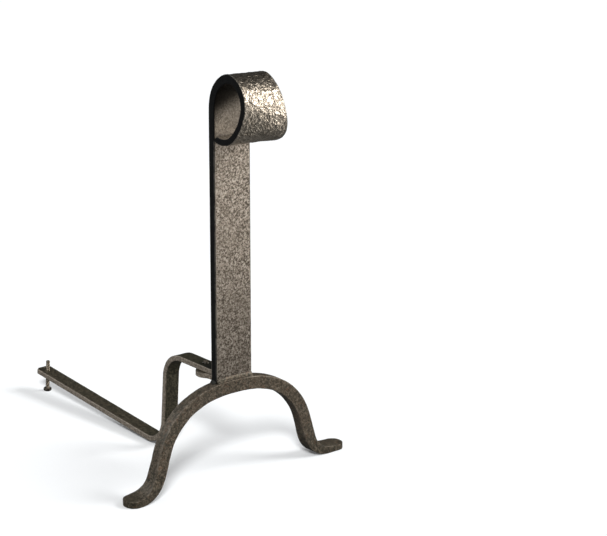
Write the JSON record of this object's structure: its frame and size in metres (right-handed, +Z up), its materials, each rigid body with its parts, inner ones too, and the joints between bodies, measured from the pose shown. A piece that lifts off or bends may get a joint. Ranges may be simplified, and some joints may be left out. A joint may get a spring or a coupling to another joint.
{
  "type": "andiron",
  "caption": "Forged iron andiron with a rolled scroll head on a flat upright, an arched foot, and a cranked log bar bolted behind with a levelling screw at its rear end.",
  "frame": {"origin": "on the hearth, in the middle of the whole width and depth", "axes": "+Z up, +Y towards the back of the hearth, +X to the right when the scroll is seen from the room"},
  "size_m": [0.3942, 0.5928, 0.6118],
  "materials": {
    "burnished_iron": "forged flat bar, finely pitted and waxed over a warm pewter grey, hammered bright on the roll",
    "dark_iron": "forged iron with a dark olive-brown waxed scale, worn lighter along the arrises",
    "bolt_steel": "blackened steel screw, dull"
  },
  "bodies": {
    "stand": {"upright_scroll": "burnished_iron", "arch_foot": "dark_iron", "rear_lug": "dark_iron", "joint_bolt": "bolt_steel", "upright_weld_front": "dark_iron", "upright_weld_left": "dark_iron", "upright_weld_right": "dark_iron", "lug_weld_top": "dark_iron", "lug_weld_bottom": "dark_iron"},
    "log_rest_bar": {"log_bar": "dark_iron"},
    "levelling_screw": {"levelling_bolt": "bolt_steel"}
  },
  "joints": [
    {"name": "log_bar_swivel", "type": "hinge", "parent": "stand", "child": "log_rest_bar", "pos_m": [-0.0085, -0.14498, 0.1518], "axis": [0, 0, 1], "range_deg": [-90, 90]},
    {"name": "levelling_travel", "type": "slide", "parent": "log_rest_bar", "child": "levelling_screw", "axis": [0, -0.0816, 0.9967], "range_m": [-0.015, 0.0225]}
  ]
}
